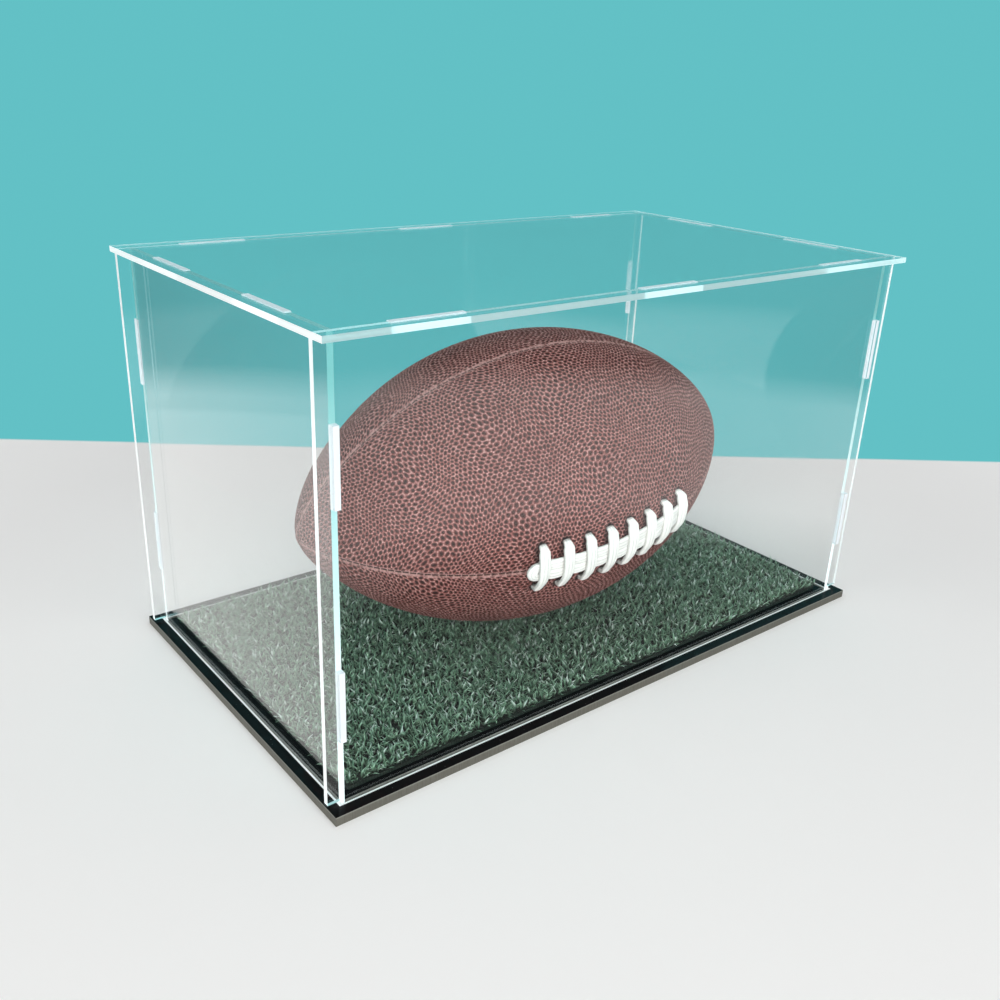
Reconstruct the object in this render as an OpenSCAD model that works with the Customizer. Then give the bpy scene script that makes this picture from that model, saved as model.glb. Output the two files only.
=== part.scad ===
// Display case for a football: a five-sheet clear acrylic cover that lifts off a
// grooved black base plate, with an artificial turf mat and the ball that lies on it.
// Units are millimetres. X runs along the case, Y to the back, Z up from the table.

/* [Case] */
// Length of the base plate and of the top, front and back sheets
case_w = 400; // [360:5:460]
// Depth of the base plate and of the top sheet
case_d = 230; // [220:2:280]
// Height of the top sheet's upper face above the table
case_h = 232; // [225:1:300]
// Thickness of the clear sheets
sheet_t = 3; // [2:0.5:5]
// Distance from the end of the base plate to the outer face of an end panel
end_inset = 7; // [5.5:0.5:15]
// Distance from the long edge of the base plate to the outer face of the front or back panel
long_inset = 7.5; // [5.5:0.5:15]

/* [Base plate] */
// Thickness of the base plate
base_t = 5; // [4:0.5:12]
// Depth of the groove that the walls stand in
groove_depth = 2; // [1:0.25:2.5]
// Clearance between the walls and each side of the groove
groove_gap = 0.15; // [0.05:0.05:0.4]
// Height of the ends of the front and back panels above the base plate
ear_lift = 2; // [0.5:0.5:5]

/* [Tabs and slots] */
// How far the tabs stand proud of the top sheet
top_proud = 0; // [0:0.2:3]
// How far the end panels' upright tabs stand proud of the front and back panels
side_proud = 1.6; // [0:0.2:3]
// Clearance round a tab in its slot
slot_gap = 0.1; // [0.05:0.05:0.3]
// Length of the middle tab on the top edge of the front and back panels
middle_tab = 40; // [20:1:60]
// Length of the outer tabs on the top edge of the front and back panels
outer_tab = 38; // [20:1:60]
// Distance from the middle of the case to the middle of an outer tab
outer_tab_x = 145.5; // [120:0.5:155]
// Length of the tabs on the top edge of the end panels
end_tab = 40; // [20:1:60]
// Distance from the middle of the case to the middle of an end panel's top tab
end_tab_y = 51.5; // [35:0.5:65]
// Height of the tabs on the upright edges of the end panels
side_tab = 37; // [20:1:50]
// Height of the lower upright tabs' middle above the table
low_tab_z = 58.5; // [45:0.5:75]
// Height of the upper upright tabs' middle above the table
high_tab_z = 174.5; // [150:0.5:190]

/* [Turf] */
// Gap between the inner faces of the walls and the turf mat
turf_margin = 5; // [2:0.5:12]
// Thickness of the mat's woven backing
backing_t = 2; // [1:0.25:4]
// Height of the pile above the backing
pile_h = 6.6; // [4:0.2:9]
// How far the pile stops short of the backing's edge
pile_inset = 0.5; // [0:0.25:3]

/* [Football] */
// Length of the ball from tip to tip
ball_l = 284; // [270:1:290]
// Diameter of the ball at its middle
ball_d = 172; // [160:1:176]
// Exponent of the outline, 0.5 for an ellipse and 1 for a parabola with sharp tips
tip_shape = 0.67; // [0.55:0.01:0.8]
// Thickness of the leather panels
leather_t = 2; // [1.5:0.25:3]
// Thickness of the fabric lining
lining_t = 0.8; // [0.6:0.1:1.5]
// Thickness of the rubber bladder
bladder_t = 0.8; // [0.6:0.1:1.5]
// Clearance between the layers of the ball
layer_gap = 0.2; // [0.1:0.05:0.4]
// Distance of the ball's middle to the right of the case's middle
ball_x = -6; // [-20:1:10]
// Room between the ball's laces and the front panel
front_room = 7; // [2:0.5:12]
// Turn of the ball about the upright axis, in degrees
ball_yaw = -9; // [-12:1:6]
// Tilt of the ball in degrees, with the right tip up when negative
ball_tilt = -7; // [-9:1:9]
// Turn of the lace seam about the ball's long axis, in degrees
lace_roll = -167; // [-180:1:-120]
// Clearance between the ball and the turf
ball_gap = 0.3; // [0.2:0.1:0.8]

/* [Lacing] */
// Number of cross laces
lace_count = 8; // [4:1:10]
// Distance between cross laces along the seam
lace_pitch = 14; // [12:0.5:17]
// Distance of the lacing's middle from the ball's middle
lace_x = 14; // [-10:1:20]
// Length of a cross lace over the leather, between its two holes
lace_span = 30; // [22:1:34]
// Width of the flat lace
lace_w = 7.5; // [4:0.5:7.5]
// Width of the lace where it is folded to go through a hole
lace_end_w = 4; // [2:0.5:5]
// Thickness of the flat lace
lace_t = 2; // [1:0.25:2.5]
// Distance from the seam to the middle of each lengthwise lace
runner_y = 4; // [3.9:0.1:5]
// Clearance of the lace over what lies under it and in its holes
lace_gap = 0.2; // [0.1:0.05:0.3]

/* [Valve] */
// Diameter of the valve's stem in the leather
valve_d = 9; // [6:0.5:12]
// Width of the valve's flange round its stem, inside the bladder
flange_w = 3; // [2:0.5:5]
// Thickness of the valve's flange
flange_t = 1; // [0.6:0.2:2]
// Diameter of the hole for the inflating needle
needle_d = 2; // [1:0.5:3]
// Distance of the valve from the ball's middle along its axis
valve_x = 30; // [0:5:60]
// Angle of the valve round the ball from the lace seam, in degrees
valve_turn = 225; // [200:5:250]

/* [Hidden] */

CLEAR = [0.84, 0.93, 0.94, 0.35];
LEATHER = [0.42, 0.20, 0.17];
LACE_WHITE = [0.93, 0.92, 0.90];
// How far a cut runs past the faces that it opens
past = 1;

// Box that the walls fill, over their outer faces and between their inner faces
wall_w = case_w - 2 * end_inset;
wall_d = case_d - 2 * long_inset;
inner_w = wall_w - 2 * sheet_t;
inner_d = wall_d - 2 * sheet_t;
wall_z = base_t - groove_depth;
wall_top = case_h - sheet_t;
ear_z = base_t + ear_lift;
top_tab_l = sheet_t + top_proud;
side_tab_l = sheet_t + side_proud;
// Middle and length of each top tab on a long panel
TOP_TABS = [[-outer_tab_x, outer_tab], [0, middle_tab], [outer_tab_x, outer_tab]];

turf_w = inner_w - 2 * turf_margin;
turf_d = inner_d - 2 * turf_margin;
pile_z = base_t + backing_t;
turf_top = pile_z + pile_h;

// Places along the ball's half length, closer together towards the tips
STEPS = 18;
STATIONS = [for (i = [-STEPS : STEPS]) sin(90 * i / STEPS)];
half_l = ball_l / 2;
half_d = ball_d / 2;

// Radius of the ball at a share u of its half length, and the outline's slope there in degrees
function ball_r(u) = half_d * pow(1 - u * u, tip_shape);
function slope_angle(u) = atan(-2 * tip_shape * u * pow(1 - u * u, tip_shape - 1) * half_d / half_l);
// Point of the outline as [radius, length], with the layers above it taken off
function outline_point(u, depth) = [ball_r(u) * (1 - depth / half_d), u * (half_l - depth)];
// Point at a height over the leather, as [length, radius]
function over_leather(u, lift) =
    [u * half_l - lift * sin(slope_angle(u)), ball_r(u) + lift * cos(slope_angle(u))];

// Reach of the outline from the ball's middle, square to its long axis turned by an angle
function reach(turn) = max([for (u = STATIONS) ball_r(u) * cos(turn) - u * half_l * sin(turn)]);

lace_half = (lace_count - 1) / 2 * lace_pitch;
lace_us = [for (i = [0 : lace_count - 1]) (lace_x - lace_half + i * lace_pitch) / half_l];
// Height of a lengthwise lace's outer corner over the leather, and of the cross laces over it
function corner_lift(u) = norm([bend_r(u) + lace_gap + lace_t, runner_y + lace_w / 2]) - bend_r(u);
cross_lift = max([for (u = lace_us) corner_lift(u)]) + lace_gap;
ball_y = front_room + reach(ball_yaw) + cross_lift + lace_t - inner_d / 2;
ball_z = turf_top + ball_gap + reach(ball_tilt);

lining_depth = leather_t + layer_gap;
bladder_depth = lining_depth + lining_t + layer_gap;
flange_r = valve_d / 2 + flange_w;
flange_sag = half_d - sqrt(half_d * half_d - flange_r * flange_r);
flange_depth = bladder_depth + bladder_t + layer_gap + flange_sag;

// Places along the lengthwise laces, which end just past the outer cross laces
runner_half = lace_half + lace_w / 2 + lace_gap;
runner_us = [for (i = [-STEPS : STEPS]) (lace_x + runner_half * i / STEPS) / half_l];
lace_hole_d = norm([lace_end_w, lace_t]) + 2 * lace_gap;

// ---- Base ----

module base_plate() {
    color([0.03, 0.03, 0.035])
    difference() {
        translate([-case_w / 2, -case_d / 2, 0])
            cube([case_w, case_d, base_t]);
        translate([0, 0, wall_z])
            linear_extrude(groove_depth + past)
                wall_ring(groove_gap);
    }
}

// Footprint of the four walls, widened on both sides by a gap
module wall_ring(gap) {
    difference() {
        square([wall_w + 2 * gap, wall_d + 2 * gap], center = true);
        square([inner_w - 2 * gap, inner_d - 2 * gap], center = true);
    }
}

module turf_backing() {
    color([0.05, 0.09, 0.06])
    translate([-turf_w / 2, -turf_d / 2, base_t])
        cube([turf_w, turf_d, backing_t]);
}

module turf_pile() {
    color([0.20, 0.30, 0.22])
    translate([-turf_w / 2 + pile_inset, -turf_d / 2 + pile_inset, pile_z])
        cube([turf_w - 2 * pile_inset, turf_d - 2 * pile_inset, pile_h]);
}

// ---- Cover ----

// Outline of the front or back panel in X and Z: its foot, its ears past the end panels,
// its top tabs and the slots for the end panels' tabs
module long_outline() {
    difference() {
        union() {
            translate([-wall_w / 2, wall_z])
                square([wall_w, wall_top - wall_z]);
            translate([-case_w / 2, ear_z])
                square([case_w, wall_top - ear_z]);
            for (tab = TOP_TABS)
                translate([tab.x - tab.y / 2, wall_top])
                    square([tab.y, top_tab_l]);
        }
        for (side = [-1, 1], z = [low_tab_z, high_tab_z])
            translate([side * (wall_w - sheet_t) / 2, z])
                square([sheet_t + 2 * slot_gap, side_tab + 2 * slot_gap], center = true);
    }
}

// Outline of an end panel in Y and Z, with its top and upright tabs
module end_outline() {
    translate([-inner_d / 2, wall_z])
        square([inner_d, wall_top - wall_z]);
    for (side = [-1, 1])
        translate([side * end_tab_y - end_tab / 2, wall_top])
            square([end_tab, top_tab_l]);
    for (z = [low_tab_z, high_tab_z])
        translate([-inner_d / 2 - side_tab_l, z - side_tab / 2])
            square([inner_d + 2 * side_tab_l, side_tab]);
}

// Outline of the top sheet in X and Y, with its ten slots
module top_outline() {
    difference() {
        square([case_w, case_d], center = true);
        for (side = [-1, 1]) {
            for (tab = TOP_TABS)
                translate([tab.x, side * (wall_d - sheet_t) / 2])
                    square([tab.y + 2 * slot_gap, sheet_t + 2 * slot_gap], center = true);
            for (end = [-1, 1])
                translate([side * (wall_w - sheet_t) / 2, end * end_tab_y])
                    square([sheet_t + 2 * slot_gap, end_tab + 2 * slot_gap], center = true);
        }
    }
}

module long_panel(back_face) {
    color(CLEAR)
    translate([0, back_face, 0])
        rotate([90, 0, 0])
            linear_extrude(sheet_t)
                long_outline();
}

module end_panel(left_face) {
    color(CLEAR)
    translate([left_face, 0, 0])
        rotate([90, 0, 90])
            linear_extrude(sheet_t)
                end_outline();
}

module front_panel() { long_panel(-inner_d / 2); }
module back_panel() { long_panel(wall_d / 2); }
module left_panel() { end_panel(-wall_w / 2); }
module right_panel() { end_panel(inner_w / 2); }

module top_panel() {
    color(CLEAR)
    translate([0, 0, wall_top])
        linear_extrude(sheet_t)
            top_outline();
}

// ---- Football ----

// Puts a shape drawn about X, with the lace seam at +Y, where the ball lies
module on_ball() {
    translate([ball_x, ball_y, ball_z])
        rotate([0, ball_tilt, ball_yaw])
            rotate([lace_roll, 0, 0])
                children();
}

// Turns a profile of radius and length about X, from one angle round from +Y towards +Z
module about_x(start, turn) {
    rotate([start, 0, 0])
        rotate(120, [1, 1, 1])
            rotate_extrude(angle = turn, $fn = 96)
                children();
}

// Stands a shape on the leather: X along the ball, Y straight out
module on_leather(u, turn) {
    rotate([turn, 0, 0])
        translate([u * half_l, ball_r(u), 0])
            rotate([0, 0, slope_angle(u)])
                children();
}

module layer_profile(depth, thickness) {
    outer = [for (u = STATIONS) outline_point(u, depth)];
    inner = [for (u = STATIONS) outline_point(-u, depth + thickness)];
    polygon(concat(outer, inner));
}

// Radius of the leather's bend across the seam, and the angle from the seam to a lace hole
function bend_r(u) = ball_r(u) / cos(slope_angle(u));
function hole_turn(u) = lace_span / 2 / bend_r(u) * 180 / PI;

// Round bar that stands on the leather between two heights
module post(d, low, high) {
    translate([0, low, 0])
        rotate([-90, 0, 0])
            cylinder(h = high - low, d = d, $fn = 24);
}

module lace_holes(side) {
    for (u = lace_us)
        on_leather(u, 0)
            translate([0, -bend_r(u), 0])
                rotate([side * hole_turn(u), 0, 0])
                    translate([0, bend_r(u), 0])
                        post(lace_hole_d, -leather_t - past, past);
}

module valve_hole() {
    on_leather(valve_x / half_l, valve_turn)
        post(valve_d + 2 * layer_gap, -flange_depth, past);
}

module leather_panel(quarter) {
    color(LEATHER)
    on_ball()
        difference() {
            about_x(90 * quarter, 90)
                layer_profile(0, leather_t);
            children();
        }
}

module laced_lower_leather() {
    leather_panel(0)
        lace_holes(1);
}

module plain_lower_leather() {
    leather_panel(1);
}

module plain_upper_leather() {
    leather_panel(2)
        valve_hole();
}

module laced_upper_leather() {
    leather_panel(3)
        lace_holes(-1);
}

module lining() {
    color([0.75, 0.72, 0.66])
    on_ball()
        difference() {
            about_x(0, 360)
                layer_profile(lining_depth, lining_t);
            valve_hole();
        }
}

module bladder() {
    color([0.10, 0.10, 0.10])
    on_ball()
        difference() {
            about_x(0, 360)
                layer_profile(bladder_depth, bladder_t);
            valve_hole();
        }
}

module valve() {
    color([0.12, 0.11, 0.11])
    on_ball()
        on_leather(valve_x / half_l, valve_turn)
            difference() {
                union() {
                    post(valve_d, -flange_depth, 0);
                    post(2 * flange_r, -flange_depth - flange_t, -flange_depth);
                }
                post(needle_d, -flange_depth - flange_t - past, past);
            }
}

// The two lengths of lace that lie along the seam, under the cross laces
module lace_runners() {
    low = [for (u = runner_us) over_leather(u, lace_gap)];
    high = [for (i = [2 * STEPS : -1 : 0]) over_leather(runner_us[i], lace_gap + lace_t)];
    color(LACE_WHITE)
    on_ball()
        for (side = [-1, 1])
            translate([0, 0, side * runner_y - lace_w / 2])
                linear_extrude(lace_w)
                    polygon(concat(low, high));
}

// Outline of a cross lace's band seen along the seam, bent over the leather
module band_outline(r, turn) {
    far = 2 * r;
    translate([-r, 0])
        intersection() {
            difference() {
                circle(r + cross_lift + lace_t, $fn = 180);
                circle(r + cross_lift, $fn = 180);
            }
            polygon([[0, 0], [far, -far * tan(turn)], [far, far * tan(turn)]]);
        }
}

// Outline of a cross lace's two ends, turned down into the holes
module end_outlines(r, turn) {
    translate([-r, 0])
        for (side = [-1, 1])
            rotate(side * turn)
                translate([r - leather_t + lace_gap, -lace_t / 2])
                    square([leather_t + cross_lift + lace_t - lace_gap, lace_t]);
}

// Extrudes an outline in height and breadth along the seam, to both sides of the middle
module along_seam(length) {
    translate([-length / 2, 0, 0])
        rotate([90, 0, 90])
            linear_extrude(length)
                children();
}

module cross_lace(u) {
    on_leather(u, 0) {
        along_seam(lace_w)
            band_outline(bend_r(u), hole_turn(u));
        along_seam(lace_end_w)
            end_outlines(bend_r(u), hole_turn(u));
    }
}

module lace_crosses() {
    color(LACE_WHITE)
    on_ball()
        for (u = lace_us)
            cross_lace(u);
}

base_plate();
turf_backing();
turf_pile();
front_panel();
back_panel();
left_panel();
right_panel();
top_panel();
laced_lower_leather();
plain_lower_leather();
plain_upper_leather();
laced_upper_leather();
lining();
bladder();
valve();
lace_runners();
lace_crosses();
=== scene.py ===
import math

import bpy
import numpy as np
from mathutils import Matrix, Vector


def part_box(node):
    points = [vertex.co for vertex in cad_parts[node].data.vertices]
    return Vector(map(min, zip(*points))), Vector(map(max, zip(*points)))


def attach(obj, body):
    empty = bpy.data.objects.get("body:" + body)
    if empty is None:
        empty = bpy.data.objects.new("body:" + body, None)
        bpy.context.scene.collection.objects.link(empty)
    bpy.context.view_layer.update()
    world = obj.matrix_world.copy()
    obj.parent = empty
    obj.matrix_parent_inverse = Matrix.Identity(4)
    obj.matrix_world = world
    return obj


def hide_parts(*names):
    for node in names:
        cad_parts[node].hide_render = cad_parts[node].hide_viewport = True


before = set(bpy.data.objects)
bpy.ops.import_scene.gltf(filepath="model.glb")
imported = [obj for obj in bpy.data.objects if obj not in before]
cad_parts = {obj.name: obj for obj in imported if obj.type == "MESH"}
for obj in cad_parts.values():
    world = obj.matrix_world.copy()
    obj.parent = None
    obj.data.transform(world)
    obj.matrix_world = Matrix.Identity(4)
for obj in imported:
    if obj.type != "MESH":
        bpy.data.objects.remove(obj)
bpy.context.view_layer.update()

MM = 0.001

# ---- Sizes and places, from the frame and from the part's own sizes ----

SHEET_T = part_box("top_panel")[1].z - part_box("top_panel")[0].z
WALL_X = (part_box("left_panel")[0].x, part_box("right_panel")[1].x)
FOOT_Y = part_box("back_panel")[1].y
GROOVE_GAP = 0.15 * MM
# Width of the painted glint line along the groove's outer rim
RIM_GLINT_W = 1.1 * MM
TOP_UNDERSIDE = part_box("top_panel")[0].z
BASE_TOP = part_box("base_plate")[1].z
MAT_LO, MAT_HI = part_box("turf_backing")

BALL_LENGTH = 284 * MM
BALL_DIAMETER = 172 * MM
TIP_SHAPE = 0.67
BALL_YAW, BALL_TILT, LACE_ROLL = -9, -7, -167
LEATHER_T = 2 * MM
LACE_HOLE_R, LACE_HOLE_SINK = 4.2 * MM, 1.5 * MM
LACE_COUNT = 8
LACE_PITCH = 14 * MM
LACE_X = 14 * MM
LACE_SPAN = 30 * MM
LACE_W = 7.5 * MM
LACE_T = 2 * MM
LACE_DRIFT = 3.0 * MM
RUNNER_Y = 4 * MM
CROSS_LIFT = 2.5 * MM
VALVE_X, VALVE_TURN, VALVE_D = 30 * MM, 225, 9 * MM

HALF_LENGTH = BALL_LENGTH / 2
HALF_DIAMETER = BALL_DIAMETER / 2
BALL_CENTRE = sum(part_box("lining"), Vector()) / 2


def turn(axis, degrees):
    return Matrix.Rotation(math.radians(degrees), 4, axis)


BALL_PLACE = (
    Matrix.Translation(BALL_CENTRE) @ turn("Z", BALL_YAW) @ turn("Y", BALL_TILT) @ turn("X", LACE_ROLL)
)

# ---- Colours ----

FLOOR_COLOUR = (0.94, 0.935, 0.925, 1)
FAR_FLOOR_COLOUR = (0.80, 0.81, 0.805, 1)
BACKDROP_COLOUR = (0.125, 0.53, 0.56, 1)
MIRRORED_FLOOR_COLOUR = (0.99, 0.985, 0.965, 1)
WORLD_LIGHT_COLOUR = (0.97, 0.985, 1.0, 1)

ACRYLIC_IOR = 1.49
CLEAR_COLOUR = (0.99, 0.997, 0.997, 1)
CLEAR_SHADOW_COLOUR = (0.96, 0.975, 0.975, 1)
# Frosted white of the sawn ends, also the colour of the painted light they give off
SAWN_EDGE_AND_GLOW_COLOUR = (0.93, 0.97, 0.975, 1)
# Painted reflection: the pale aqua of the backdrop, painted on the long front edges
FRONT_EDGE_REFLECTION_COLOUR = (0.58, 0.86, 0.88, 1)
# Painted reflection on the uprights' front edges: pale floor low down, teal backdrop higher up
LOW_UPRIGHT_FLOOR_REFLECTION_COLOUR = (0.84, 0.90, 0.91, 1)
HIGH_UPRIGHT_BACKDROP_REFLECTION_COLOUR = (0.26, 0.54, 0.54, 1)
FROSTED_COLOUR = (0.84, 0.90, 0.95, 1)

BLACK_COLOUR = (0.006, 0.006, 0.0065, 1)
DUST_COLOUR = (0.20, 0.21, 0.20, 1)
# Painted glint along the outer rim of the walls' groove
RIM_GLINT_COLOUR = (0.85, 0.88, 0.88, 1)
SAWN_DARK_COLOUR = (0.080, 0.079, 0.066, 1)
SAWN_PALE_COLOUR = (0.185, 0.183, 0.158, 1)
# Painted highlight along the top edge of the sawn sides
ARRIS_HIGHLIGHT_COLOUR = (0.36, 0.36, 0.33, 1)

# Painted shade at the blades' roots, deep in the pile
BLADE_ROOT_SHADE_COLOUR = (0.004, 0.010, 0.006, 1)
BLADE_COLOUR = (0.120, 0.242, 0.150, 1)
# Painted highlight on the blades' lit tips
BLADE_TIP_HIGHLIGHT_COLOUR = (0.58, 0.74, 0.62, 1)
THATCH_COLOUR = (0.110, 0.220, 0.136, 1)
# Painted highlight on the thatch's tips
THATCH_TIP_HIGHLIGHT_COLOUR = (0.36, 0.52, 0.40, 1)
# Paler blades: partly faded plastic, partly painted glints on the pile
FADED_AND_GLINT_COLOUR = (0.70, 0.80, 0.74, 1)

# Dimples: their own darker colour, deepened by painted shade in the pits
DIMPLE_AND_SHADE_COLOUR = (0.022, 0.007, 0.006, 1)
WORN_DIMPLE_AND_SHADE_COLOUR = (0.036, 0.011, 0.009, 1)
NET_COLOUR = (0.250, 0.080, 0.070, 1)
DARK_NET_COLOUR = (0.205, 0.063, 0.056, 1)
# Painted highlight on the crests of the net between dimples
CREST_HIGHLIGHT_COLOUR = (0.84, 0.54, 0.50, 1)
# Painted highlight on the rounded panel edges beside each seam
SEAM_RIDGE_HIGHLIGHT_COLOUR = (0.47, 0.26, 0.24, 1)
SEAM_COLOUR = (0.030, 0.011, 0.010, 1)
# Dark of a lace hole, also used for painted shade round it and painted shadow beside the cross laces
HOLE_AND_SHADE_COLOUR = (0.012, 0.006, 0.006, 1)
LACE_COLOUR = (0.93, 0.895, 0.865, 1)
# Darker colour between the lace's ribs
RIB_GROOVE_COLOUR = (0.50, 0.50, 0.48, 1)


# ---- Node graphs ----

class Graph:
    """A material's node tree, with short calls that add a node and link it."""

    def __init__(self, name, tree=None):
        self.material = None
        if tree is None:
            self.material = bpy.data.materials.new(name)
            self.material.use_nodes = True
            tree = self.material.node_tree
        self.tree = tree
        self.tree.nodes.clear()

    def add(self, kind, inputs=None, out=0, **settings):
        """Adds a node and returns one of its outputs. An input is a number, a colour or an output."""
        node = self.tree.nodes.new("ShaderNode" + kind)
        for key, value in settings.items():
            setattr(node, key, value)
        for key, value in (inputs or {}).items():
            if isinstance(value, bpy.types.NodeSocket):
                self.tree.links.new(value, node.inputs[key])
            else:
                node.inputs[key].default_value = value
        return node.outputs[out]

    def math(self, operation, a, b=0.0):
        return self.add("Math", {0: a, 1: b}, operation=operation)

    def mix(self, share, a, b):
        """A colour that runs from a to b."""
        return self.add("Mix", {"Factor": share, 6: a, 7: b}, out=2, data_type="RGBA")

    def place(self, output="Object"):
        return self.add("TexCoord", out=output)

    def axis(self, vector, letter):
        return self.add("SeparateXYZ", {0: vector}, out=letter)

    def noise(self, vector, scale, detail=2.0, roughness=0.5, stretch=None):
        if stretch:
            vector = self.add("Mapping", {"Vector": vector, "Scale": stretch})
        values = {"Vector": vector, "Scale": scale, "Detail": detail, "Roughness": roughness}
        return self.add("TexNoise", values)

    def span(self, value, low, high, new_low=0.0, new_high=1.0):
        """Maps a range to another, held at its ends."""
        values = {"Value": value, "From Min": low, "From Max": high, "To Min": new_low, "To Max": new_high}
        return self.add("MapRange", values)

    def bump(self, height, distance, strength=1.0):
        return self.add("Bump", {"Height": height, "Distance": distance, "Strength": strength})

    def attribute(self, name):
        return self.add("Attribute", out="Fac", attribute_name=name)

    def blend(self, share, a, b):
        """A number that runs from a to b."""
        return self.add("Mix", {"Factor": share, 2: a, 3: b}, data_type="FLOAT")

    def wave(self, vector, scale, direction, distortion=0.0):
        values = {"Vector": vector, "Scale": scale, "Distortion": distortion}
        return self.add("TexWave", values, out="Fac", bands_direction=direction)

    def principled(self, **inputs):
        return self.add("BsdfPrincipled", {key.replace("_", " "): value for key, value in inputs.items()})

    def finish(self, surface, kind="Material"):
        """Links the surface to the tree's output, and returns the material if it is one."""
        out = self.tree.nodes.new("ShaderNodeOutput" + kind)
        self.tree.links.new(surface, out.inputs["Surface"])
        return self.material


# ---- Materials ----

def inside(g, place, letter, low, high):
    """1 where a coordinate's distance from the middle lies between two limits."""
    away = g.math("ABSOLUTE", g.axis(place, letter))
    return g.math("MULTIPLY", g.math("GREATER_THAN", away, low), g.math("LESS_THAN", away, high))


def slot_edges(g, place, axis):
    """1 on a sheet's tabs and in its slots, whose cuts are frosted, and 0 on its long polished edges."""
    if axis == "Z":
        within_ends = inside(g, place, "X", -1, WALL_X[1] + 1 * MM)
        return g.math("MULTIPLY", within_ends, inside(g, place, "Y", -1, FOOT_Y + 1 * MM))
    tab = g.math("GREATER_THAN", g.axis(place, "Z"), TOP_UNDERSIDE + 0.3 * MM)
    if axis == "X":
        return g.math("MAXIMUM", tab, inside(g, place, "Y", FOOT_Y - SHEET_T + 0.3 * MM, 1))
    upright = inside(g, place, "X", WALL_X[1] - SHEET_T - 1 * MM, WALL_X[1] + 1 * MM)
    height = inside(g, place, "Z", 20 * MM, TOP_UNDERSIDE - 5 * MM)
    return g.math("MAXIMUM", tab, g.math("MULTIPLY", upright, height))


def clear_acrylic(axis):
    """Clear cast sheet, whose thickness runs along the axis. Of its cut edges, the sawn ends are frosted
    white, the long fronts carry a painted reflection of the pale aqua backdrop, on the uprights running
    from pale floor low down to teal higher up, and the tabs and slots are frosted. Every cut edge gives off
    painted light, the sawn ends most and the frosted tabs and slots least. Faces that point down stay
    clear."""
    g = Graph("clear_acrylic_" + axis.lower())
    normal = g.place("Normal")
    facing = g.math("ABSOLUTE", g.axis(normal, axis))
    in_groove = g.math("LESS_THAN", g.axis(normal, "Z"), -0.5)
    edge = g.math("MULTIPLY", g.math("LESS_THAN", facing, 0.5), g.math("SUBTRACT", 1.0, in_groove))
    place = g.place()
    frosted = g.math("MULTIPLY", edge, slot_edges(g, place, axis))
    end = g.math("GREATER_THAN", g.math("ABSOLUTE", g.axis(normal, "X")), 0.5)
    if axis == "Z":
        end = g.math("MAXIMUM", end, g.math("GREATER_THAN", g.axis(normal, "Y"), 0.5))
    sawn = g.math("MULTIPLY", edge, end)
    saw = g.noise(place, 900, 1.0, stretch=(1, 1, 0.08))
    smudge = g.span(g.noise(place, 14, 4.0, 0.6), 0.45, 0.75, 0.012, 0.05)
    edge_rough = g.span(saw, 0.3, 0.7, 0.28, 0.36)
    rough = g.blend(edge, smudge, edge_rough)
    # Painted reflection of backdrop and floor on the long front edges, which also give off painted light in
    # it
    edge_reflection_colour = FRONT_EDGE_REFLECTION_COLOUR
    if axis == "X":
        height = g.span(g.axis(place, "Z"), 0.05, 0.21)
        edge_reflection_colour = g.mix(height, LOW_UPRIGHT_FLOOR_REFLECTION_COLOUR, HIGH_UPRIGHT_BACKDROP_REFLECTION_COLOUR)
    colour = g.mix(edge, CLEAR_COLOUR, edge_reflection_colour)
    colour = g.mix(sawn, colour, SAWN_EDGE_AND_GLOW_COLOUR)
    colour = g.mix(frosted, colour, FROSTED_COLOUR)
    cloud = g.math("MULTIPLY", edge, g.span(sawn, 0, 1, 0.45, 0.80))
    clear = g.math("SUBTRACT", 1.0, g.math("MAXIMUM", cloud, g.math("MULTIPLY", frosted, 0.90)))
    # Painted light: the cut edges give off light of their own, the frosted tabs and slots less
    painted_edge_light = g.math("MULTIPLY", edge, g.span(sawn, 0, 1, 0.18, 0.25))
    painted_edge_light = g.math("MULTIPLY", painted_edge_light, g.span(frosted, 0, 1, 1.0, 0.30))
    sheet = g.principled(
        Base_Color=colour,
        Roughness=rough,
        IOR=ACRYLIC_IOR,
        Transmission_Weight=clear,
        Emission_Color=g.mix(sawn, edge_reflection_colour, SAWN_EDGE_AND_GLOW_COLOUR),
        Emission_Strength=painted_edge_light,
    )
    see_through = g.add("BsdfTransparent", {"Color": CLEAR_SHADOW_COLOUR})
    shadow = g.add("LightPath", out="Is Shadow Ray")
    return g.finish(g.add("MixShader", {0: shadow, 1: sheet, 2: see_through}))


def groove_rim_glint(g, place):
    """1 on a thin line just outside the outer rim of the walls' groove, where a glint of light is painted.
    """
    beyond = []
    for letter, half in (("X", WALL_X[1]), ("Y", FOOT_Y)):
        beyond.append(g.math("SUBTRACT", g.math("ABSOLUTE", g.axis(place, letter)), half))
    off = g.math("MAXIMUM", *beyond)
    past_gap = g.math("GREATER_THAN", off, GROOVE_GAP)
    return g.math("MULTIPLY", past_gap, g.math("LESS_THAN", off, GROOVE_GAP + RIM_GLINT_W))


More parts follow.
